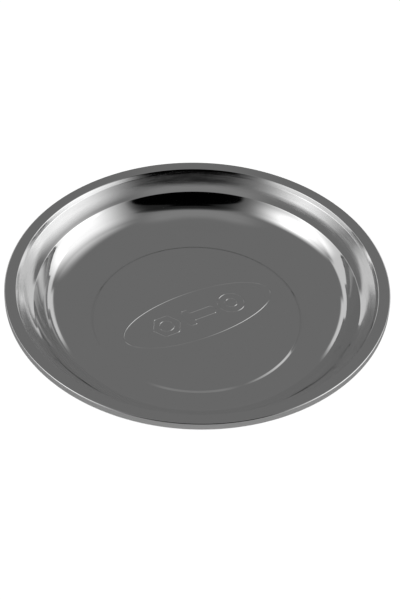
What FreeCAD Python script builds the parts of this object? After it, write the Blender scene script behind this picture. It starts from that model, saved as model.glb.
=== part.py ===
import FreeCAD, Part
import math
import os

from FreeCAD import Vector

# Round magnetic parts tray: a pressed stainless dish with a magnet base clamped under its floor.
# Millimetres. +Z is up, the origin is at the centre of the face that the tray rests on, and the
# long axis of the stamped oval lies along +X.

# ---- driving dimensions: the whole tray ----
RIM_RADIUS = 75.0           # a 150 mm tray
TRAY_HEIGHT = 32.0          # resting face to the top of the rim
SHEET = 0.6                 # stainless sheet thickness
FULL_TURN = 360.0
CUT_MARGIN = 1.0            # how far a cutting tool stands past the piece it cuts

# ---- dish: radii, and depths below the rim ----
HEM_HEIGHT = 3.4            # the edge is rolled under into an open hem
HEM_RETURN = 2.4            # how far the hem runs back inward
HEM_BEND = 0.7
FLOOR_DEPTH = 19.7
BOWL_BENDS = (              # corner radius, depth below the rim, and bend radius there
    (70.5, 0.0, 0.85),      # the flange turns down steeply
    (69.5, 1.9, 1.7),       # then the upper wall flattens in two steps towards the ledge
    (66.35, 5.55, 22.0),
    (64.05, 7.45, 0.9),     # ledge edge
    (62.45, 10.0, 33.5),    # the rest is one long curve that flattens into the floor
    (59.8, 13.25, 16.0),
    (52.4, FLOOR_DEPTH, 20.0),
)
STEP_OUTER_RADIUS = 42.2    # the floor's raised centre, which locates the magnet base below
STEP_INNER_RADIUS = 40.8
STEP_RISE = 1.0
STEP_BEND = 1.7

# ---- stamped relief on the raised centre ----
RELIEF_HEIGHT = 0.18
RELIEF_WIDTH = 0.7
RELIEF_SHIFT_X = 0.8        # the stamp is struck slightly off the tray's centre
OVAL_HALF_LENGTH = 32.7
OVAL_HALF_WIDTH = 12.9
NUT_SIGN_X = -14.4
NUT_SIGN_CORNER_RADIUS = 6.0
NUT_SIGN_BORE_RADIUS = 2.9
WASHER_SIGN_X = 15.0
WASHER_SIGN_RADIUS = 5.4
WASHER_SIGN_BORE_RADIUS = 2.4
SCREW_HEAD_LEFT = -6.4
SCREW_HEAD_RIGHT = -3.0
SCREW_HEAD_HALF = 4.4
SCREW_HEAD_CROWN = (1.0, 1.6)   # how far the crown's slope runs along X and across
SCREW_SHANK_RIGHT = 7.4
SCREW_SHANK_HALF = 2.2
SCREW_TAPER = 1.0

# ---- magnet base ----
FLOOR_TOP = TRAY_HEIGHT - FLOOR_DEPTH
FLOOR_UNDERSIDE = FLOOR_TOP - SHEET
CENTRE_TOP = FLOOR_TOP + STEP_RISE
CENTRE_UNDERSIDE = CENTRE_TOP - SHEET
PAD_THICKNESS = 0.8
PAD_RADIUS = 35.5
PAD_HOLE_RADIUS = 6.0
MAGNET_RADIUS = 40.0
MAGNET_BORE_RADIUS = 20.0
MAGNET_THICKNESS = 8.0
MAGNET_CHAMFER = 0.5
MAGNET_TOP = CENTRE_UNDERSIDE - PAD_THICKNESS
MAGNET_BOTTOM = MAGNET_TOP - MAGNET_THICKNESS

CUP_SHEET = 1.0
CUP_FLANGE_RADIUS = 34.0
CUP_WALL_RADIUS = 12.0      # outside of the pressed well that rises into the magnet's bore
CUP_WELL_TOP = 11.0
CUP_BEND = 1.4
CUP_HOLE_RADIUS = 3.3

RING_CLEARANCE = 0.2
RING_WALL = 1.5
RING_WEB = 1.2
RING_RIBS = 8

STUD_RADIUS = 2.95          # M6 thread, drawn plain
STUD_CHAMFER = 0.5
STUD_END = 3.1
STUD_FLANGE_RADIUS = 3.75
STUD_FLANGE_THICKNESS = 0.8

WASHER_THICKNESS = 1.6
WASHER_RADIUS = 6.0
WASHER_HOLE_RADIUS = 3.2
SPRING_WASHER_RADIUS = 5.9
SPRING_WASHER_HOLE_RADIUS = 3.05
SPRING_WASHER_GAP = 0.8
SPRING_WASHER_GAP_ANGLE = 20.0
NUT_ACROSS_FLATS = 10.0
NUT_HEIGHT = 3.2
NUT_BORE_RADIUS = 3.0
NUT_CHAMFER_ANGLE = 30.0

BOOT_FOOT_RADIUS = 44.2
BOOT_TOP_RADIUS = 43.6
BOOT_EDGE_BEND = 1.2
BOOT_CLEARANCE = 0.1
BOOT_LIP_INNER_RADIUS = 36.0
BOOT_LIP_OUTER_RADIUS = 39.8
BOOT_HOLE_RADIUS = 14.0
TREAD_GROOVE_RADII = (19.0, 24.0, 29.0, 34.0, 39.0)
TREAD_GROOVE_WIDTH = 1.6
TREAD_GROOVE_DEPTH = 0.8


# ---- outlines in the plane of the radius and Z ----

def unit(vector):
    """The same direction at length one."""
    return vector / vector.Length


def offset_corners(corners, distance):
    """Corners of the outline that runs at this distance to the left of an open outline."""
    directions = [unit(b - a) for a, b in zip(corners, corners[1:])]
    left = [Vector(-d.z, 0, d.x) for d in directions]
    moved = [corners[0] + left[0] * distance]
    for i in range(1, len(corners) - 1):
        bisector = left[i - 1] + left[i]
        moved.append(corners[i] + bisector * (2 * distance / bisector.dot(bisector)))
    moved.append(corners[-1] + left[-1] * distance)
    return moved


def rounded_edges(corners, bends):
    """Edges of an open outline whose inner corners are rounded with the given radii."""
    edges = []
    start = corners[0]
    for before, corner, after, bend in zip(corners, corners[1:], corners[2:], bends):
        to_before = unit(before - corner)
        to_after = unit(after - corner)
        half_angle = to_before.getAngle(to_after) / 2
        reach = bend / math.tan(half_angle)
        bisector = unit(to_before + to_after)
        arc_start = corner + to_before * reach
        arc_end = corner + to_after * reach
        arc_middle = corner + bisector * (bend / math.sin(half_angle) - bend)
        edges.append(Part.LineSegment(start, arc_start).toShape())
        edges.append(Part.Arc(arc_start, arc_middle, arc_end).toShape())
        start = arc_end
    edges.append(Part.LineSegment(start, corners[-1]).toShape())
    return edges


def sheet_outline(corners, bends, thickness):
    """Closed outline of a bent sheet that lies to the left of its outer surface."""
    turns = []
    for before, corner, after in zip(corners, corners[1:], corners[2:]):
        turns.append((after - corner).cross(corner - before).y)
    inner_corners = offset_corners(corners, thickness)
    inner_bends = [bend + math.copysign(thickness, -turn) for bend, turn in zip(bends, turns)]
    outer = rounded_edges(corners, bends)
    inner = rounded_edges(inner_corners, inner_bends)
    ends = [
        Part.LineSegment(corners[0], inner_corners[0]).toShape(),
        Part.LineSegment(corners[-1], inner_corners[-1]).toShape(),
    ]
    return Part.Wire(Part.__sortEdges__(outer + inner + ends))


def points(pairs):
    """Points in the plane of the radius and Z from (radius, z) pairs."""
    return [Vector(radius, 0, z) for radius, z in pairs]


def turned(wire):
    """Solid of revolution about Z."""
    face = Part.Face(wire)
    return face.revolve(Vector(0, 0, 0), Vector(0, 0, 1), FULL_TURN)


def turned_polygon(pairs):
    """Solid of revolution from a closed polygon of (radius, z) pairs."""
    corners = points(pairs)
    return turned(Part.makePolygon(corners + corners[:1]))


def disc(radius, bottom, thickness):
    return Part.makeCylinder(radius, thickness, Vector(0, 0, bottom))


def ring(outer_radius, inner_radius, bottom, thickness):
    bore = disc(inner_radius, bottom - CUT_MARGIN, thickness + 2 * CUT_MARGIN)
    return disc(outer_radius, bottom, thickness).cut(bore)


# ---- stamped relief ----

def circle_outline(x, radius):
    return Part.Wire(Part.Circle(Vector(x, 0, 0), Vector(0, 0, 1), radius).toShape())


def polygon_outline(pairs):
    corners = [Vector(x, y, 0) for x, y in pairs]
    return Part.makePolygon(corners + corners[:1])


def hexagon_outline(x, corner_radius):
    corners = []
    for i in range(6):
        angle = math.radians(60 * i)
        corners.append((x + corner_radius * math.cos(angle), corner_radius * math.sin(angle)))
    return polygon_outline(corners)


def screw_outline():
    """Side view of a screw: a crowned head on the left, and a shank that tapers at its end."""
    crown_x, crown_y = SCREW_HEAD_CROWN
    upper = [
        (SCREW_SHANK_RIGHT, SCREW_SHANK_HALF - SCREW_TAPER),
        (SCREW_SHANK_RIGHT - SCREW_TAPER, SCREW_SHANK_HALF),
        (SCREW_HEAD_RIGHT, SCREW_SHANK_HALF),
        (SCREW_HEAD_RIGHT, SCREW_HEAD_HALF),
        (SCREW_HEAD_LEFT + crown_x, SCREW_HEAD_HALF),
        (SCREW_HEAD_LEFT, SCREW_HEAD_HALF - crown_y),
    ]
    lower = [(x, -y) for x, y in reversed(upper)]
    return polygon_outline(upper + lower)


def oval_outline(grow):
    oval = Part.Ellipse(Vector(0, 0, 0), OVAL_HALF_LENGTH + grow, OVAL_HALF_WIDTH + grow)
    return Part.Wire(oval.toShape())


def ridge_outlines():
    """Both edges of each line of the relief: an oval, and a nut, a screw and a washer in outline."""
    half = RELIEF_WIDTH / 2
    signs = [
        hexagon_outline(NUT_SIGN_X, NUT_SIGN_CORNER_RADIUS),
        circle_outline(NUT_SIGN_X, NUT_SIGN_BORE_RADIUS),
        screw_outline(),
        circle_outline(WASHER_SIGN_X, WASHER_SIGN_RADIUS),
        circle_outline(WASHER_SIGN_X, WASHER_SIGN_BORE_RADIUS),
    ]
    pairs = [(oval_outline(half), oval_outline(-half))]
    pairs += [(sign.makeOffset2D(half), sign.makeOffset2D(-half)) for sign in signs]
    return pairs


def prism(wire, bottom, height):
    """Upright prism on a closed outline in the XY plane."""
    face = Part.Face(wire)
    face.translate(Vector(0, 0, bottom))
    return face.extrude(Vector(0, 0, height))


def ridge_tools(bottom):
    """Low walls that stand along the lines of the relief."""
    height = 2 * RELIEF_HEIGHT
    tools = []
    for outer, inner in ridge_outlines():
        tool = prism(outer, bottom, height).cut(prism(inner, bottom, height))
        tool.translate(Vector(RELIEF_SHIFT_X, 0, 0))
        tools.append(tool)
    return tools


# ---- the pieces ----

def make_dish():
    corners = [
        (RIM_RADIUS - HEM_RETURN, TRAY_HEIGHT - HEM_HEIGHT),
        (RIM_RADIUS, TRAY_HEIGHT - HEM_HEIGHT),
        (RIM_RADIUS, TRAY_HEIGHT),
    ]
    bends = [HEM_BEND, HEM_BEND]
    for radius, depth, bend in BOWL_BENDS:
        corners.append((radius, TRAY_HEIGHT - depth))
        bends.append(bend)
    corners += [(STEP_OUTER_RADIUS, FLOOR_TOP), (STEP_INNER_RADIUS, CENTRE_TOP), (0, CENTRE_TOP)]
    bends += [STEP_BEND, STEP_BEND]
    dish = turned(sheet_outline(points(corners), bends, SHEET))
    dish = dish.fuse(ridge_tools(CENTRE_TOP - RELIEF_HEIGHT))
    return dish.cut(ridge_tools(CENTRE_UNDERSIDE - RELIEF_HEIGHT))


def make_foam_pad():
    return ring(PAD_RADIUS, PAD_HOLE_RADIUS, MAGNET_TOP, PAD_THICKNESS)


def make_ring_magnet():
    c = MAGNET_CHAMFER
    return turned_polygon([
        (MAGNET_BORE_RADIUS, MAGNET_BOTTOM),
        (MAGNET_RADIUS - c, MAGNET_BOTTOM),
        (MAGNET_RADIUS, MAGNET_BOTTOM + c),
        (MAGNET_RADIUS, MAGNET_TOP - c),
        (MAGNET_RADIUS - c, MAGNET_TOP),
        (MAGNET_BORE_RADIUS, MAGNET_TOP),
    ])


def make_clamp_cup():
    corners = points([
        (CUP_FLANGE_RADIUS, MAGNET_BOTTOM),
        (CUP_WALL_RADIUS, MAGNET_BOTTOM),
        (CUP_WALL_RADIUS, CUP_WELL_TOP),
        (CUP_HOLE_RADIUS, CUP_WELL_TOP),
    ])
    return turned(sheet_outline(corners, [CUP_BEND - CUP_SHEET, CUP_BEND], CUP_SHEET))


def make_centring_ring():
    outer = MAGNET_BORE_RADIUS - RING_CLEARANCE
    inner = CUP_WALL_RADIUS + RING_CLEARANCE
    bottom = MAGNET_BOTTOM + RING_CLEARANCE + CUP_BEND
    height = MAGNET_TOP - RING_CLEARANCE - bottom
    body = ring(outer, outer - RING_WALL, bottom, height)
    body = body.fuse(ring(inner + RING_WALL, inner, bottom, height))
    body = body.fuse(ring(outer, inner, bottom + height - RING_WEB, RING_WEB))
    rib_length = outer - inner - RING_WALL
    rib_corner = Vector(inner + RING_WALL / 2, -RING_WALL / 2, bottom)
    for i in range(RING_RIBS):
        rib = Part.makeBox(rib_length, RING_WALL, height, rib_corner)
        rib.rotate(Vector(0, 0, 0), Vector(0, 0, 1), FULL_TURN * i / RING_RIBS)
        body = body.fuse(rib)
    return body.removeSplitter()


def make_weld_stud():
    flange_bottom = CENTRE_UNDERSIDE - STUD_FLANGE_THICKNESS
    return turned_polygon([
        (0, STUD_END),
        (STUD_RADIUS - STUD_CHAMFER, STUD_END),
        (STUD_RADIUS, STUD_END + STUD_CHAMFER),
        (STUD_RADIUS, flange_bottom),
        (STUD_FLANGE_RADIUS, flange_bottom),
        (STUD_FLANGE_RADIUS, CENTRE_UNDERSIDE),
        (0, CENTRE_UNDERSIDE),
    ])


def make_flat_washer(top):
    return ring(WASHER_RADIUS, WASHER_HOLE_RADIUS, top - WASHER_THICKNESS, WASHER_THICKNESS)


def make_spring_washer(top):
    """Split washer, cut across at a slant."""
    body = ring(SPRING_WASHER_RADIUS, SPRING_WASHER_HOLE_RADIUS, top - WASHER_THICKNESS, WASHER_THICKNESS)
    slot = Part.makeBox(
        2 * SPRING_WASHER_RADIUS, SPRING_WASHER_GAP, 4 * WASHER_THICKNESS,
        Vector(0, -SPRING_WASHER_GAP / 2, -2 * WASHER_THICKNESS),
    )
    slot.rotate(Vector(0, 0, 0), Vector(1, 0, 0), SPRING_WASHER_GAP_ANGLE)
    slot.translate(Vector(0, 0, top - WASHER_THICKNESS / 2))
    return body.cut(slot)


def make_jam_nut(top):
    """Thin hexagon nut, chamfered on both faces."""
    corner = NUT_ACROSS_FLATS / 2 / math.cos(math.radians(30))
    bottom = top - NUT_HEIGHT
    body = prism(hexagon_outline(0, corner), bottom, NUT_HEIGHT)
    drop = (corner - NUT_ACROSS_FLATS / 2) * math.tan(math.radians(NUT_CHAMFER_ANGLE))
    flat = NUT_ACROSS_FLATS / 2
    chamfered = turned_polygon([
        (0, bottom),
        (flat, bottom),
        (corner, bottom + drop),
        (corner, top - drop),
        (flat, top),
        (0, top),
    ])
    bore = disc(NUT_BORE_RADIUS, bottom - CUT_MARGIN, NUT_HEIGHT + 2 * CUT_MARGIN)
    return body.common(chamfered).cut(bore)


def make_rubber_boot():
    """Cover stretched over the magnet: a treaded floor, a side wall and a lip over the magnet's edge."""
    inner = MAGNET_RADIUS + BOOT_CLEARANCE
    cup_bottom = MAGNET_BOTTOM - CUP_SHEET
    cup_pocket = CUP_FLANGE_RADIUS + BOOT_CLEARANCE
    outer_corners = points([
        (BOOT_HOLE_RADIUS, 0),
        (BOOT_FOOT_RADIUS, 0),
        (BOOT_TOP_RADIUS, FLOOR_UNDERSIDE),
        (BOOT_LIP_OUTER_RADIUS, FLOOR_UNDERSIDE),
    ])
    inside = points([
        (BOOT_LIP_OUTER_RADIUS, FLOOR_UNDERSIDE),
        (BOOT_LIP_OUTER_RADIUS, CENTRE_UNDERSIDE),
        (BOOT_LIP_INNER_RADIUS, CENTRE_UNDERSIDE),
        (BOOT_LIP_INNER_RADIUS, MAGNET_TOP),
        (inner, MAGNET_TOP),
        (inner, MAGNET_BOTTOM),
        (cup_pocket, MAGNET_BOTTOM),
        (cup_pocket, cup_bottom),
        (BOOT_HOLE_RADIUS, cup_bottom),
        (BOOT_HOLE_RADIUS, 0),
    ])
    edges = rounded_edges(outer_corners, [BOOT_EDGE_BEND, BOOT_EDGE_BEND / 2])
    edges += [Part.LineSegment(a, b).toShape() for a, b in zip(inside, inside[1:])]
    boot = turned(Part.Wire(edges))
    for radius in TREAD_GROOVE_RADII:
        half = TREAD_GROOVE_WIDTH / 2
        boot = boot.cut(ring(radius + half, radius - half, -CUT_MARGIN, CUT_MARGIN + TREAD_GROOVE_DEPTH))
    return boot


def main():
    os.makedirs("parts", exist_ok=True)
    washer_top = CUP_WELL_TOP - CUP_SHEET
    spring_top = washer_top - WASHER_THICKNESS
    nut_top = spring_top - WASHER_THICKNESS
    pieces = {
        "dish": make_dish(),
        "weld_stud": make_weld_stud(),
        "foam_pad": make_foam_pad(),
        "ring_magnet": make_ring_magnet(),
        "centring_ring": make_centring_ring(),
        "clamp_cup": make_clamp_cup(),
        "flat_washer": make_flat_washer(washer_top),
        "spring_washer": make_spring_washer(spring_top),
        "jam_nut": make_jam_nut(nut_top),
        "rubber_boot": make_rubber_boot(),
    }
    for node, shape in pieces.items():
        box = shape.optimalBoundingBox(False, False)
        print(f"{node}: solids {len(shape.Solids)}, valid {shape.isValid()}, volume {shape.Volume:.1f} mm3, "
              f"z {box.ZMin:.2f} to {box.ZMax:.2f}, x to {box.XMax:.2f}")
        shape.exportStep(f"parts/{node}.step")


main()
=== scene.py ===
import math

import bpy
import numpy as np
from mathutils import Matrix, Vector
from mathutils.geometry import delaunay_2d_cdt


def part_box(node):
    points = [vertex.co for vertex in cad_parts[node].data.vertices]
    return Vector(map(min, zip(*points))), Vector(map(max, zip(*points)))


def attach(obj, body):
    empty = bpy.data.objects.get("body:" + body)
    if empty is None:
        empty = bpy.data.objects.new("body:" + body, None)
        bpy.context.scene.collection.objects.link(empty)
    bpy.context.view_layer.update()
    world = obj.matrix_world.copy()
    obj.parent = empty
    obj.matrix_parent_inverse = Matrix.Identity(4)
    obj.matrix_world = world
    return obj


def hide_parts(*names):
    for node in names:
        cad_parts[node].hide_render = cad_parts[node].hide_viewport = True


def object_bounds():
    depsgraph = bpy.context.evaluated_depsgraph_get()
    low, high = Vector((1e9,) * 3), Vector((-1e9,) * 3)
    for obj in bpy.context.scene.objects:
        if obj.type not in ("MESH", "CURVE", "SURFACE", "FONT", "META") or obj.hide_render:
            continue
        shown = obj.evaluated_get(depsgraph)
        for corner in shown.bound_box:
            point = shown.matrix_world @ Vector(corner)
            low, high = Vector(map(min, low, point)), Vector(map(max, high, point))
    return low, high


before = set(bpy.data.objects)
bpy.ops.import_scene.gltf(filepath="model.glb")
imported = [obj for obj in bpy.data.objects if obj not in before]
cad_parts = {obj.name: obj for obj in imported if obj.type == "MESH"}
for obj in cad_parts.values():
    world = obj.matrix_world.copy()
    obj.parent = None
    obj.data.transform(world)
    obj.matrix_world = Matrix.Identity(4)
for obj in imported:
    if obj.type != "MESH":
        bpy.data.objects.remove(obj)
cad_low, cad_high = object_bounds()

MM = 0.001
TURN = 2 * math.pi
ARC_STEP = math.radians(4)          # longest step round a bend
LATHE_STEPS = 360

# ---- dish, in millimetres: radii, and depths below the rim, as in the CAD ----
RIM_RADIUS = cad_high.x / MM
RIM_TOP = cad_high.z / MM
SHEET = 0.6
HEM_HEIGHT = 3.4
HEM_RETURN = 2.4
FLOOR_DEPTH = 19.7
STEP_RISE = 1.0                     # height of the raised centre
FLOOR_TOP = RIM_TOP - FLOOR_DEPTH
FLOOR_UNDERSIDE = FLOOR_TOP - SHEET
CENTRE_TOP = FLOOR_TOP + STEP_RISE
DISH_CORNERS = (
    (RIM_RADIUS - HEM_RETURN, RIM_TOP - HEM_HEIGHT),
    (RIM_RADIUS, RIM_TOP - HEM_HEIGHT),
    (RIM_RADIUS, RIM_TOP),
    (70.5, RIM_TOP),                # the flange turns down steeply
    (69.5, RIM_TOP - 1.9),          # then the upper wall flattens towards the ledge
    (66.35, RIM_TOP - 5.55),
    (64.05, RIM_TOP - 7.45),        # ledge edge
    (62.45, RIM_TOP - 10.0),        # the rest is one long curve into the floor
    (59.8, RIM_TOP - 13.25),
    (52.4, FLOOR_TOP),
    (42.2, FLOOR_TOP),              # foot of the raised centre
    (40.8, CENTRE_TOP),
    (0.0, CENTRE_TOP),
)
# Bend radius at each corner between the first and the last.
DISH_BENDS = (0.7, 0.7, 0.85, 1.7, 22.0, 0.9, 33.5, 16.0, 20.0, 1.7, 1.7)
SHEET_EDGE_BEND = 0.25

# ---- radii where the duller, brushed finish of the upper wall fades in and out ----
WALL_FOOT = (64.5, 66.5)
WALL_TOP = (69.7, 70.3)

# ---- stamped relief ----
RELIEF_EDGE_RADIUS = 39.0           # the relief patch meets the turned part of the dish here
RELIEF_SHIFT_X = 0.8
RIDGE_HEIGHT = 0.26
RIDGE_HALF_WIDTH = 0.42
RIDGE_ROWS = 9
FLAT_MARGIN = 0.12                  # flat row on each side, so that shading doesn't spill over
OVAL_HALF_AXES = (32.7, 12.9)
NUT_SIGN_X = -14.4
NUT_SIGN_ACROSS_CORNERS = 12.0
NUT_SIGN_CORNER_BEND = 1.2
NUT_SIGN_BORE_RADIUS = 2.9
WASHER_SIGN_X = 15.0
WASHER_SIGN_RADIUS = 5.4
WASHER_SIGN_BORE_RADIUS = 2.4
SCREW_HEAD_LEFT = -6.4
SCREW_HEAD_RIGHT = -3.0
SCREW_HEAD_HALF = 4.4
SCREW_HEAD_CROWN = (1.0, 1.6)       # how far the crown's slope runs along X and across
SCREW_SHANK_RIGHT = 7.4
SCREW_SHANK_HALF = 2.2
SCREW_TAPER = 1.0
SCREW_CORNER_BEND = 0.6
OUTLINE_STEP = 1.0                  # longest step along a straight side of a sign
GRID_STEP = 2.5                     # spacing of the points that fill the flat areas
MERGE_DISTANCE = 1e-5

# ---- rubber boot ----
BOOT_STEPS = 192
BOOT_TOP_RADIUS = 43.6
BOOT_LIP_OUTER_RADIUS = 39.8
BOOT_LIP_INNER_RADIUS = 36.0
BOOT_HOLE_RADIUS = 14.0
BOOT_CLEARANCE = 0.1
BOOT_FOOT_BEND = 1.2
BOOT_SHOULDER_BEND = 0.6
BOOT_HOLE_BEND = 0.3
BOOT_POCKET_BEND = 0.3
BOOT_FINE_BEND = 0.15
TREAD_GROOVE_RADII = (19.0, 24.0, 29.0, 34.0, 39.0)
TREAD_GROOVE_WIDTH = 1.6
TREAD_GROOVE_DEPTH = 0.8
TREAD_BEND = 0.25


# ---- outlines ----

def unit(vector):
    return vector / np.linalg.norm(vector)


def rounded(corners, bends, closed):
    """Points along an outline with rounded corners, and the normals on the right of its direction."""
    corners = [np.array(corner, float) for corner in corners]
    count = len(corners)
    points, normals = [], []

    def add(point, direction):
        points.append(point)
        normals.append(np.array([direction[1], -direction[0]]))

    indices = range(count) if closed else range(1, count - 1)
    if not closed:
        add(corners[0], unit(corners[1] - corners[0]))
    for i, bend in zip(indices, bends):
        corner = corners[i]
        arriving = unit(corner - corners[i - 1])
        leaving = unit(corners[(i + 1) % count] - corner)
        turn = math.atan2(np.cross(arriving, leaving), arriving @ leaving)
        reach = bend * math.tan(abs(turn) / 2)
        start = corner - arriving * reach
        side = np.array([-arriving[1], arriving[0]]) * math.copysign(1, turn)
        centre = start + side * bend
        steps = max(2, math.ceil(abs(turn) / ARC_STEP))
        for k in range(steps + 1):
            angle = turn * k / steps
            c, s = math.cos(angle), math.sin(angle)
            spin = np.array([[c, -s], [s, c]])
            add(centre + spin @ (start - centre), spin @ arriving)
    if not closed:
        add(corners[-1], unit(corners[-1] - corners[-2]))
    return np.array(points), np.array(normals)


def offset_corners(corners, distance):
    """Corners of the outline that runs at this distance on the left of an open outline."""
    corners = [np.array(corner, float) for corner in corners]
    directions = [unit(b - a) for a, b in zip(corners, corners[1:])]
    left = [np.array([-d[1], d[0]]) for d in directions]
    moved = [corners[0] + left[0] * distance]
    for before, after, corner in zip(left, left[1:], corners[1:]):
        bisector = before + after
        moved.append(corner + bisector * (2 * distance / (bisector @ bisector)))
    moved.append(corners[-1] + left[-1] * distance)
    return moved


def offset_bends(corners, bends, distance):
    """Bend radii on the left of an open outline: smaller round left turns, larger round right ones."""
    corners = [np.array(corner, float) for corner in corners]
    changed = []
    for before, corner, after, bend in zip(corners, corners[1:], corners[2:], bends):
        turn = np.cross(corner - before, after - corner)
        changed.append(bend - math.copysign(distance, turn))
    return changed


# ---- meshes ----

class Surface:
    """Vertices with their own normals, and faces, gathered before they become one mesh."""

    def __init__(self):
        self.points = []
        self.normals = []
        self.faces = []

    def add_points(self, points, normals):
        first = len(self.points)
        self.points.extend(points)
        self.normals.extend(normals)
        return first

    def add_strip(self, first, second, count):
        """Quads between two closed rows of vertices; the second row is on the left of the first."""
        for i in range(count):
            j = (i + 1) % count
            self.faces.append((first + i, first + j, second + j, second + i))

    def build(self, name, material):
        mesh = bpy.data.meshes.new(name)
        mesh.from_pydata([Vector(p) * MM for p in self.points], [], self.faces)
        mesh.polygons.foreach_set("use_smooth", [True] * len(mesh.polygons))
        mesh.normals_split_custom_set_from_vertices([Vector(n).normalized() for n in self.normals])
        mesh.materials.append(material)
        piece = bpy.data.objects.new(name, mesh)
        bpy.context.scene.collection.objects.link(piece)
        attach(piece, "root")
        return piece


def turn_outline(surface, points, normals, closed, steps=LATHE_STEPS):
    """Turns an outline of (radius, z) points about Z. A start on the axis becomes a single point."""
    angles = np.arange(steps) * TURN / steps
    c, s = np.cos(angles), np.sin(angles)
    rows = []
    for (radius, z), (out, up) in zip(points, normals):
        if radius < MERGE_DISTANCE:
            rows.append((surface.add_points([(0, 0, z)], [(0, 0, up)]), 1))
            continue
        first = surface.add_points(
            np.column_stack([radius * c, radius * s, np.full(steps, z)]),
            np.column_stack([out * c, out * s, np.full(steps, up)]),
        )
        rows.append((first, steps))
    pairs = list(zip(rows, rows[1:]))
    if closed:
        pairs.append((rows[-1], rows[0]))
    for (first, first_count), (second, second_count) in pairs:
        if first_count == second_count:
            surface.add_strip(first, second, steps)
        else:
            for i in range(steps):
                surface.faces.append((first, second + (i + 1) % steps, second + i))
    return rows


# ---- stamped relief on the raised centre ----

def circle_row(x, radius, steps):
    angles = np.arange(steps) * TURN / steps
    normals = np.column_stack([np.cos(angles), np.sin(angles)])
    return np.array([x, 0.0]) + normals * radius, normals


def oval_row(steps):
    angles = np.arange(steps) * TURN / steps
    a, b = OVAL_HALF_AXES
    points = np.column_stack([a * np.cos(angles), b * np.sin(angles)])
    normals = np.column_stack([b * np.cos(angles), a * np.sin(angles)])
    return points, normals / np.linalg.norm(normals, axis=1)[:, None]


def polygon_row(corners, bend):
    """Outline with rounded corners, with points added along its straight sides."""
    points, normals = rounded(corners, [bend] * len(corners), closed=True)
    row, row_normals = [], []
    for i in range(len(points)):
        j = (i + 1) % len(points)
        pieces = max(1, math.ceil(np.linalg.norm(points[j] - points[i]) / OUTLINE_STEP))
        for k in range(pieces):
            row.append(points[i] + (points[j] - points[i]) * k / pieces)
            row_normals.append(normals[i])
    return np.array(row), np.array(row_normals)


def nut_outline():
    angles = [math.radians(60 * i) for i in range(6)]
    radius = NUT_SIGN_ACROSS_CORNERS / 2
    corners = [(NUT_SIGN_X + radius * math.cos(a), radius * math.sin(a)) for a in angles]
    return polygon_row(corners, NUT_SIGN_CORNER_BEND)


def screw_outline():
    """Side view of a screw: a head on the left and a shank that tapers at its end."""
    crown_along, crown_across = SCREW_HEAD_CROWN
    upper = [
        (SCREW_SHANK_RIGHT, SCREW_SHANK_HALF - SCREW_TAPER),
        (SCREW_SHANK_RIGHT - SCREW_TAPER, SCREW_SHANK_HALF),
        (SCREW_HEAD_RIGHT, SCREW_SHANK_HALF),
        (SCREW_HEAD_RIGHT, SCREW_HEAD_HALF),
        (SCREW_HEAD_LEFT + crown_along, SCREW_HEAD_HALF),
        (SCREW_HEAD_LEFT, SCREW_HEAD_HALF - crown_across),
    ]
    lower = [(x, -y) for x, y in reversed(upper)]
    return polygon_row(upper + lower, SCREW_CORNER_BEND)


def relief_outlines():
    return [
        oval_row(288),
        nut_outline(),
        circle_row(NUT_SIGN_X, NUT_SIGN_BORE_RADIUS, 60),
        screw_outline(),
        circle_row(WASHER_SIGN_X, WASHER_SIGN_RADIUS, 84),
        circle_row(WASHER_SIGN_X, WASHER_SIGN_BORE_RADIUS, 48),
    ]


def inside(points, loop):
    """Whether each point lies in a closed loop, by the even-odd rule."""
    x, y = points[:, 0], points[:, 1]
    found = np.zeros(len(points), bool)
    for a, b in zip(loop, np.roll(loop, -1, axis=0)):
        if a[1] == b[1]:
            continue
        crosses = (a[1] > y) != (b[1] > y)
        found ^= crosses & (x < a[0] + (y - a[1]) * (b[0] - a[0]) / (b[1] - a[1]))
    return found


def ridge_shape(distance):
    """Height and slope of a rounded ridge at a distance from its middle line."""
    phase = math.pi * min(1, abs(distance) / RIDGE_HALF_WIDTH)
    height = RIDGE_HEIGHT * (1 + math.cos(phase)) / 2
    steepness = RIDGE_HEIGHT * math.pi * math.sin(phase) / 2 / RIDGE_HALF_WIDTH
    return height, -math.copysign(steepness, distance)


def grid_points(taken):
    """Points of a square grid in the raised centre that keep clear of the points already taken."""
    steps = np.arange(-RELIEF_EDGE_RADIUS, RELIEF_EDGE_RADIUS, GRID_STEP)
    found = []
    for x in steps:
        for y in steps:
            point = np.array([x, y])
            clear = np.linalg.norm(taken - point, axis=1).min() > GRID_STEP / 2
            if clear and np.linalg.norm(point) < RELIEF_EDGE_RADIUS - GRID_STEP / 2:
                found.append(point)
    return found


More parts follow.
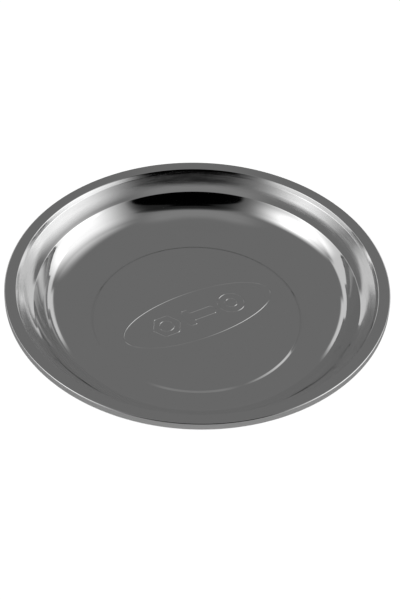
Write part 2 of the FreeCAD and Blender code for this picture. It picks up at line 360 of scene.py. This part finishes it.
def add_relief(surface, edge_first, edge_count):
    """Fills the raised centre inside a row of the dish with flat areas and rounded ridges."""
    flat_points = [np.array(p[:2]) for p in surface.points[edge_first:edge_first + edge_count]]
    flat_index = list(range(edge_first, edge_first + edge_count))
    loops = [(0, edge_count)]
    grown, shrunk = [], []
    shift = np.array([RELIEF_SHIFT_X, 0.0])
    across = np.linspace(-1, 1, RIDGE_ROWS) * RIDGE_HALF_WIDTH
    reach = RIDGE_HALF_WIDTH + FLAT_MARGIN
    for points, normals in relief_outlines():
        count = len(points)
        rows = []
        for d in [-reach, *across, reach]:
            height, slope = ridge_shape(d)
            place = points + normals * d + shift
            level = np.full(count, CENTRE_TOP + height)
            tilted = np.column_stack([-slope * normals, np.ones(count)])
            rows.append(surface.add_points(np.column_stack([place, level]), tilted))
        for inner, outer in zip(rows, rows[1:]):
            surface.add_strip(outer, inner, count)
        for first, d, kept in ((rows[0], -reach, shrunk), (rows[-1], reach, grown)):
            loop = points + normals * d + shift
            loops.append((len(flat_points), count))
            flat_points.extend(loop)
            flat_index.extend(range(first, first + count))
            kept.append(loop)
    edges = [(s + i, s + (i + 1) % n) for s, n in loops for i in range(n)]
    for x, y in grid_points(np.array(flat_points)):
        flat_points.append(np.array([x, y]))
        flat_index.append(surface.add_points([(x, y, CENTRE_TOP)], [(0, 0, 1)]))
    vertices = [Vector(p) for p in flat_points]
    made_places, _, made_triangles, originals, _, _ = delaunay_2d_cdt(
        vertices, edges, [], 0, MERGE_DISTANCE)
    source = [flat_index[sources[0]] for sources in originals]
    places = np.array([p[:] for p in made_places])
    triangles = np.array(made_triangles)
    middles = places[triangles].mean(axis=1)
    depth = sum(inside(middles, loop).astype(int) for loop in grown)
    depth -= sum(inside(middles, loop).astype(int) for loop in shrunk)
    for triangle in triangles[depth == 0]:
        surface.faces.append(tuple(source[i] for i in triangle))


# ---- material helpers ----

NOISE_RANGE = (0.3, 0.7)            # the part of a noise texture's values that a ramp uses
ROUGHNESS_SPREAD = 0.08
TURNED_LINE_STRETCH = 0.004         # length of one radian round the tray, as the noise sees it


class Shader:
    """A material's node tree, with short calls for the nodes that the materials share."""

    def __init__(self, tree):
        self.tree = tree
        tree.nodes.clear()

    def node(self, kind, **settings):
        made = self.tree.nodes.new(kind)
        for name, value in settings.items():
            setattr(made, name, value)
        return made

    def link(self, value, socket):
        if hasattr(value, "is_linked"):
            self.tree.links.new(value, socket)
        else:
            socket.default_value = value

    def math(self, operation, *values):
        made = self.node("ShaderNodeMath", operation=operation)
        for value, socket in zip(values, made.inputs):
            self.link(value, socket)
        return made.outputs[0]

    def ramp(self, value, low, high, to_low=0.0, to_high=1.0):
        """Smooth step of a value from one range to another."""
        made = self.node("ShaderNodeMapRange", interpolation_type="SMOOTHSTEP")
        for socket, number in zip(made.inputs, (value, low, high, to_low, to_high)):
            self.link(number, socket)
        return made.outputs[0]

    def noise(self, vector, scale, detail=4.0, roughness=0.5):
        made = self.node("ShaderNodeTexNoise")
        self.link(vector, made.inputs["Vector"])
        made.inputs["Scale"].default_value = scale
        made.inputs["Detail"].default_value = detail
        made.inputs["Roughness"].default_value = roughness
        return made.outputs[0]

    def object_coordinates(self):
        return self.node("ShaderNodeTexCoord").outputs["Object"]

    def split(self, vector):
        made = self.node("ShaderNodeSeparateXYZ")
        self.link(vector, made.inputs[0])
        return made.outputs

    def combine(self, x, y, z):
        made = self.node("ShaderNodeCombineXYZ")
        for value, socket in zip((x, y, z), made.inputs):
            self.link(value, socket)
        return made.outputs[0]

    def grey_mix(self, factor, first, second):
        made = self.node("ShaderNodeMix", data_type="RGBA")
        self.link(factor, made.inputs[0])
        made.inputs[6].default_value = (*first, 1)
        made.inputs[7].default_value = (*second, 1)
        return made.outputs[2]

    def bump(self, height, distance):
        made = self.node("ShaderNodeBump")
        self.link(height, made.inputs["Height"])
        made.inputs["Distance"].default_value = distance
        made.inputs["Strength"].default_value = 1.0
        return made.outputs[0]


def surface_material(name, colour, roughness, metallic, height, bump_distance):
    """Material whose colour, roughness and relief come from the given node functions."""
    material = bpy.data.materials.new(name)
    material.use_nodes = True
    shader = Shader(material.node_tree)
    principled = shader.node("ShaderNodeBsdfPrincipled")
    principled.inputs["Metallic"].default_value = metallic
    shader.link(colour(shader), principled.inputs["Base Color"])
    shader.link(roughness(shader), principled.inputs["Roughness"])
    shader.link(shader.bump(height(shader), bump_distance), principled.inputs["Normal"])
    output = shader.node("ShaderNodeOutputMaterial")
    shader.link(principled.outputs[0], output.inputs[0])
    return material


def distance_from_axis(shader, x, y):
    squares = shader.math("ADD", shader.math("MULTIPLY", x, x), shader.math("MULTIPLY", y, y))
    return shader.math("SQRT", squares)


def turned_coordinates(shader):
    """Coordinates that run round the tray: long along the turning direction, short across it."""
    x, y, z = shader.split(shader.object_coordinates())
    direction = shader.math("ARCTAN2", y, x)
    around = shader.math("MULTIPLY", direction, TURNED_LINE_STRETCH)
    return shader.combine(distance_from_axis(shader, x, y), around, z)


# ---- materials ----

def wall_zone(shader):
    """One on the upper wall and the ledge of the dish, fading to zero on the rest of it."""
    x, y, _ = shader.split(shader.object_coordinates())
    radius = shader.math("DIVIDE", distance_from_axis(shader, x, y), MM)
    rise = shader.ramp(radius, *WALL_FOOT)
    fall = shader.ramp(radius, *WALL_TOP)
    return shader.math("MULTIPLY", rise, shader.math("SUBTRACT", 1.0, fall))


def polished_steel():
    """Mirror finish on the floor and flange, and a duller, brushed finish on the upper wall."""
    def colour(shader):
        tone = shader.noise(shader.object_coordinates(), 60.0)
        return shader.grey_mix(tone, (0.93, 0.93, 0.93), (0.95, 0.95, 0.95))

    def roughness(shader):
        lines = shader.noise(turned_coordinates(shader), 2500.0, 3.0)
        polished = shader.ramp(lines, *NOISE_RANGE, 0.04, 0.07)
        brushed = shader.ramp(lines, *NOISE_RANGE, 0.08, 0.16)
        extra = shader.math("MULTIPLY", wall_zone(shader), brushed)
        return shader.math("ADD", polished, extra)

    def height(shader):
        return shader.noise(turned_coordinates(shader), 1800.0, 2.0)

    return surface_material("polished_steel", colour, roughness, 1.0, height, 0.0000015)


def plated_steel(name, dark, light):
    def colour(shader):
        return shader.grey_mix(shader.noise(shader.object_coordinates(), 400.0), dark, light)

    def roughness(shader):
        return shader.ramp(shader.noise(shader.object_coordinates(), 1500.0), *NOISE_RANGE, 0.28, 0.42)

    def height(shader):
        return shader.noise(shader.object_coordinates(), 2500.0)

    return surface_material(name, colour, roughness, 1.0, height, 0.00001)


def grainy(name, dark, light, scale, rough, bump_distance):
    """Rubber, foam, ferrite or moulded plastic: a fine-grained, non-metallic surface."""
    def colour(shader):
        return shader.grey_mix(shader.noise(shader.object_coordinates(), scale / 4), dark, light)

    def roughness(shader):
        grain = shader.noise(shader.object_coordinates(), scale / 2)
        return shader.ramp(grain, *NOISE_RANGE, rough - ROUGHNESS_SPREAD, rough + ROUGHNESS_SPREAD)

    def height(shader):
        return shader.noise(shader.object_coordinates(), scale, 6.0, 0.6)

    return surface_material(name, colour, roughness, 0.0, height, bump_distance)


steel = polished_steel()
zinc = plated_steel("zinc_plated_steel", (0.58, 0.58, 0.57), (0.70, 0.70, 0.71))
spring_steel = plated_steel("spring_steel", (0.30, 0.30, 0.31), (0.42, 0.42, 0.43))
rubber = grainy("moulded_rubber", (0.016, 0.016, 0.016), (0.03, 0.03, 0.03), 1600.0, 0.62, 0.00004)
foam = grainy("foam", (0.05, 0.05, 0.05), (0.1, 0.1, 0.1), 1200.0, 0.85, 0.0001)
ferrite = grainy("sintered_ferrite", (0.03, 0.03, 0.033), (0.06, 0.06, 0.065), 2500.0, 0.55, 0.00003)
nylon = grainy("nylon", (0.72, 0.71, 0.67), (0.8, 0.79, 0.75), 800.0, 0.5, 0.00001)


# ---- pieces ----

def make_dish():
    """The pressed sheet: one closed skin, from the underside's centre over the hem to the raised centre."""
    under_corners = offset_corners(DISH_CORNERS, SHEET)
    under_bends = offset_bends(DISH_CORNERS, DISH_BENDS, SHEET)
    top_corners = [*DISH_CORNERS[:-1], (RELIEF_EDGE_RADIUS, CENTRE_TOP)]
    corners = [*reversed(under_corners), *top_corners]
    bends = [*reversed(under_bends), SHEET_EDGE_BEND, SHEET_EDGE_BEND, *DISH_BENDS]
    surface = Surface()
    points, normals = rounded(corners, bends, closed=False)
    rows = turn_outline(surface, points, normals, closed=False)
    add_relief(surface, *rows[-1])
    piece = surface.build("dish_shell", steel)
    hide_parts("dish")


def boot_outline():
    """Corners and bends of the boot's section, from its opening over the tread and round to the pocket."""
    low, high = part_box("rubber_boot")
    magnet_low, magnet_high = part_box("ring_magnet")
    cup_low, cup_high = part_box("clamp_cup")
    bottom, top = low.z / MM, high.z / MM
    magnet_bottom, magnet_top = magnet_low.z / MM, magnet_high.z / MM
    wall_inside = magnet_high.x / MM + BOOT_CLEARANCE
    cup_pocket = cup_high.x / MM + BOOT_CLEARANCE
    cup_bottom = cup_low.z / MM
    groove_half = TREAD_GROOVE_WIDTH / 2
    groove_top = bottom + TREAD_GROOVE_DEPTH
    outline = [((BOOT_HOLE_RADIUS, bottom), BOOT_HOLE_BEND)]
    for radius in TREAD_GROOVE_RADII:
        outline += [
            ((radius - groove_half, bottom), TREAD_BEND),
            ((radius - groove_half, groove_top), TREAD_BEND),
            ((radius + groove_half, groove_top), TREAD_BEND),
            ((radius + groove_half, bottom), TREAD_BEND),
        ]
    outline += [
        ((high.x / MM, bottom), BOOT_FOOT_BEND),
        ((BOOT_TOP_RADIUS, FLOOR_UNDERSIDE), BOOT_SHOULDER_BEND),
        ((BOOT_LIP_OUTER_RADIUS, FLOOR_UNDERSIDE), BOOT_FINE_BEND),
        ((BOOT_LIP_OUTER_RADIUS, top), BOOT_FINE_BEND),
        ((BOOT_LIP_INNER_RADIUS, top), BOOT_FINE_BEND),
        ((BOOT_LIP_INNER_RADIUS, magnet_top), BOOT_FINE_BEND),
        ((wall_inside, magnet_top), BOOT_POCKET_BEND),
        ((wall_inside, magnet_bottom), BOOT_POCKET_BEND),
        ((cup_pocket, magnet_bottom), BOOT_FINE_BEND),
        ((cup_pocket, cup_bottom), BOOT_FINE_BEND),
        ((BOOT_HOLE_RADIUS, cup_bottom), BOOT_HOLE_BEND),
    ]
    return zip(*outline)


def make_boot():
    """The rubber cover, with rounded tread rings under it."""
    corners, bends = boot_outline()
    surface = Surface()
    points, normals = rounded(corners, bends, closed=True)
    turn_outline(surface, points, normals, closed=True, steps=BOOT_STEPS)
    piece = surface.build("boot_cover", rubber)
    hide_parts("rubber_boot")


make_dish()
make_boot()

for node, material in {
    "weld_stud": spring_steel,
    "foam_pad": foam,
    "ring_magnet": ferrite,
    "centring_ring": nylon,
    "clamp_cup": zinc,
    "flat_washer": zinc,
    "spring_washer": spring_steel,
    "jam_nut": zinc,
}.items():
    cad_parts[node].material_slots[0].material = material


# ---- studio ----

CAMERA_AZIMUTH = -30.1
CAMERA_ELEVATION = 42.38
CAMERA_DISTANCE = 0.565             # from the centre of the rim
CAMERA_ROLL = 1.76
CAMERA_AIM_DOWN = 0.779             # degrees from the rim's centre to the middle of the view
CAMERA_AIM_RIGHT = 0.089
CAMERA_LENS = 86.97

# ---- studio light: azimuth 0 is at the camera's right, 90 behind the tray, 270 behind the camera ----
TENT_LIGHT = 0.144
CARD = {                            # slightly brighter cloth high above the camera
    "half_width": 50.0, "elevations": (50.0, 66.0), "soft": (30.0, 16.0), "strength": 0.06,
}
# Softboxes are windows on an upright wall one unit off: start, end, and the softness of each edge.
RIGHT_BOX = {
    "azimuth": 336.6, "across": (-0.09, 1.09, 0.67, 1.27),
    "up": (0.14, 0.77, 0.49, 1.34), "strength": 1.06,
}
LEFT_BOX = {
    "azimuth": 232.5, "across": (-1.02, -0.33, 2.84, 0.85),
    "up": (0.36, 0.76, 0.51, 0.66), "strength": 2.43,
}
SIDE_GLOW = {                       # low light on the cloth at both sides, away from the back's middle
    "across": (24.2, 140.0, 9.7, 20.0), "top": (14.0, 18.0), "strength": 0.42,
}
ZENITH_DIM = {"elevations": (72.8, 82.8), "depth": 0.01}
# Dark rounded areas behind the camera: the camera itself, and the softer dark round it.
CAMERA_DARK = {
    "centre": (0.25, 0.53), "half_size": (0.8, 0.32), "power": 2.3, "soft": 0.12, "depth": 0.98,
}
BACKDROP_DARK = {
    "centre": (0.28, 0.64), "half_size": (0.82, 0.6), "power": 3.12, "soft": 0.85, "depth": 0.9,
}
BEHIND_CAMERA = 270.0
IN_FRONT = 0.02                     # a direction faces a wall if its part towards it is over this
NEAREST_WALL = 0.001                # keeps a division by that part safe

# ---- floor ----
FLOOR_HALF = 3.0
FLOOR_ALBEDO = 0.8
FLOOR_GLOW = 0.08                   # seen by every ray
FLOOR_GLOW_IN_VIEW = 0.8            # added where the camera sees the floor directly


def add_camera():
    azimuth = math.radians(CAMERA_AZIMUTH)
    elevation = math.radians(CAMERA_ELEVATION)
    back = Vector((
        math.sin(azimuth) * math.cos(elevation),
        -math.cos(azimuth) * math.cos(elevation),
        math.sin(elevation),
    ))
    aim = Vector((0, 0, RIM_TOP * MM))
    camera = bpy.data.objects.new("camera", bpy.data.cameras.new("camera"))
    camera.data.lens = CAMERA_LENS
    camera.data.clip_start = 0.01
    right = Vector((0, 0, 1)).cross(back).normalized()
    up = back.cross(right)
    facing = Matrix((right, up, back)).transposed()
    turned = facing @ Matrix.Rotation(math.radians(CAMERA_ROLL), 3, "Z")
    turned = turned @ Matrix.Rotation(math.radians(-CAMERA_AIM_DOWN), 3, "X")
    turned = turned @ Matrix.Rotation(math.radians(-CAMERA_AIM_RIGHT), 3, "Y")
    camera.matrix_world = Matrix.Translation(aim + back * CAMERA_DISTANCE) @ turned.to_4x4()
    bpy.context.scene.collection.objects.link(camera)
    bpy.context.scene.camera = camera


class Sky:
    """Parts of the studio as seen from the tray, in directions that turn with the camera."""

    def __init__(self, shader):
        self.shader = shader
        spin = shader.node("ShaderNodeVectorRotate", rotation_type="Z_AXIS")
        shader.link(shader.node("ShaderNodeTexCoord").outputs["Generated"], spin.inputs["Vector"])
        spin.inputs["Angle"].default_value = math.radians(-CAMERA_AZIMUTH)
        self.x, self.y, self.z = shader.split(spin.outputs[0])
        self.elevation = self.degrees(shader.math("ARCSINE", self.z))

    def degrees(self, value):
        return self.shader.math("MULTIPLY", value, 360 / TURN)

    def window(self, value, start, end, soft_start, soft_end):
        """One between start and end, with soft edges of the given widths, and zero outside."""
        rise = self.shader.ramp(value, start - soft_start / 2, start + soft_start / 2)
        fall = self.shader.ramp(value, end - soft_end / 2, end + soft_end / 2)
        return self.shader.math("MULTIPLY", rise, self.shader.math("SUBTRACT", 1.0, fall))

    def wall(self, azimuth):
        """Across, up and in-front values on an upright wall, one unit off, that faces the tray."""
        math_node = self.shader.math
        c, s = math.cos(math.radians(azimuth)), math.sin(math.radians(azimuth))
        ahead = math_node("ADD", math_node("MULTIPLY", self.x, c), math_node("MULTIPLY", self.y, s))
        across = math_node("SUBTRACT", math_node("MULTIPLY", self.y, c), math_node("MULTIPLY", self.x, s))
        near = math_node("MAXIMUM", ahead, NEAREST_WALL)
        in_front = math_node("GREATER_THAN", ahead, IN_FRONT)
        return math_node("DIVIDE", across, near), math_node("DIVIDE", self.z, near), in_front

    def softbox(self, azimuth, across, up, strength):
        across_at, up_at, in_front = self.wall(azimuth)
        shape = self.shader.math(
            "MULTIPLY", self.window(across_at, *across), self.window(up_at, *up))
        return self.shader.math("MULTIPLY", self.shader.math("MULTIPLY", shape, in_front), strength)

    def side_glow(self, across, top, strength):
        """Band above the horizon; across is counted from the direction straight behind the tray."""
        turn = self.shader.math("ABSOLUTE", self.degrees(self.shader.math("ARCTAN2", self.x, self.y)))
        below = self.shader.ramp(self.elevation, *top, 1.0, 0.0)
        band = self.shader.math("MULTIPLY", self.window(turn, *across), below)
        return self.shader.math("MULTIPLY", band, strength)

    def card(self, half_width, elevations, soft, strength):
        """Patch high on the tent, centred on the direction straight behind the camera."""
        backward = self.shader.math("MULTIPLY", self.y, -1.0)
        turn = self.degrees(self.shader.math("ARCTAN2", self.x, backward))
        width_soft, height_soft = soft
        patch = self.shader.math(
            "MULTIPLY",
            self.window(turn, -half_width, half_width, width_soft, width_soft),
            self.window(self.elevation, *elevations, height_soft, height_soft),
        )
        return self.shader.math("MULTIPLY", patch, strength)

    def zenith_dim(self, elevations, depth):
        return self.shader.ramp(self.elevation, *elevations, 1.0, 1 - depth)

    def shade(self, centre, half_size, power, soft, depth):
        """Factor that darkens a rounded area of the wall behind the camera."""
        across, up, in_front = self.wall(BEHIND_CAMERA)
        terms = []
        for value, middle, half in zip((across, up), centre, half_size):
            off = self.shader.math("ABSOLUTE", self.shader.math("SUBTRACT", value, middle))
            terms.append(self.shader.math("POWER", self.shader.math("DIVIDE", off, half), power))
        edge = self.shader.ramp(self.shader.math("ADD", *terms), 1 - soft, 1 + soft)
        inside_it = self.shader.math("MULTIPLY", self.shader.math("SUBTRACT", 1.0, edge), in_front)
        return self.shader.math("SUBTRACT", 1.0, self.shader.math("MULTIPLY", inside_it, depth))


def add_world():
    """A grey tent with softboxes and a dark camera position; the camera itself sees plain white."""
    world = bpy.data.worlds.new("studio")
    bpy.context.scene.world = world
    world.use_nodes = True
    shader = Shader(world.node_tree)
    sky = Sky(shader)
    light = shader.math("ADD", sky.card(**CARD), TENT_LIGHT)
    light = shader.math("ADD", light, sky.softbox(**RIGHT_BOX))
    light = shader.math("ADD", light, sky.softbox(**LEFT_BOX))
    light = shader.math("MULTIPLY", light, sky.shade(**CAMERA_DARK))
    light = shader.math("MULTIPLY", light, sky.shade(**BACKDROP_DARK))
    light = shader.math("ADD", light, sky.side_glow(**SIDE_GLOW))
    light = shader.math("MULTIPLY", light, sky.zenith_dim(**ZENITH_DIM))
    seen = shader.node("ShaderNodeLightPath").outputs["Is Camera Ray"]
    lit = shader.node("ShaderNodeBackground")
    shader.link(light, lit.inputs["Strength"])
    pale = shader.node("ShaderNodeBackground")
    pale.inputs["Strength"].default_value = 1.0
    for background in (lit, pale):
        background.inputs["Color"].default_value = (1, 1, 1, 1)
    mixed = shader.node("ShaderNodeMixShader")
    shader.link(seen, mixed.inputs[0])
    shader.link(lit.outputs[0], mixed.inputs[1])
    shader.link(pale.outputs[0], mixed.inputs[2])
    output = shader.node("ShaderNodeOutputWorld")
    shader.link(mixed.outputs[0], output.inputs[0])


def add_floor():
    """Plain pale floor at the tray's foot."""
    mesh = bpy.data.meshes.new("floor")
    corners = [(-1, -1), (1, -1), (1, 1), (-1, 1)]
    points = [(x * FLOOR_HALF, y * FLOOR_HALF, cad_low.z) for x, y in corners]
    mesh.from_pydata(points, [], [(0, 1, 2, 3)])
    floor = bpy.data.objects.new("floor", mesh)
    bpy.context.scene.collection.objects.link(floor)
    material = bpy.data.materials.new("pale_floor")
    material.use_nodes = True
    shader = Shader(material.node_tree)
    matt = shader.node("ShaderNodeBsdfDiffuse")
    matt.inputs["Color"].default_value = (FLOOR_ALBEDO, FLOOR_ALBEDO, FLOOR_ALBEDO, 1)
    glow = shader.node("ShaderNodeEmission")
    seen = shader.node("ShaderNodeLightPath").outputs["Is Camera Ray"]
    in_view = shader.math("MULTIPLY", seen, FLOOR_GLOW_IN_VIEW)
    shader.link(shader.math("ADD", in_view, FLOOR_GLOW), glow.inputs["Strength"])
    both = shader.node("ShaderNodeAddShader")
    shader.link(matt.outputs[0], both.inputs[0])
    shader.link(glow.outputs[0], both.inputs[1])
    output = shader.node("ShaderNodeOutputMaterial")
    shader.link(both.outputs[0], output.inputs[0])
    mesh.materials.append(material)


add_camera()
add_world()
add_floor()
bpy.context.scene.view_settings.view_transform = "Standard"
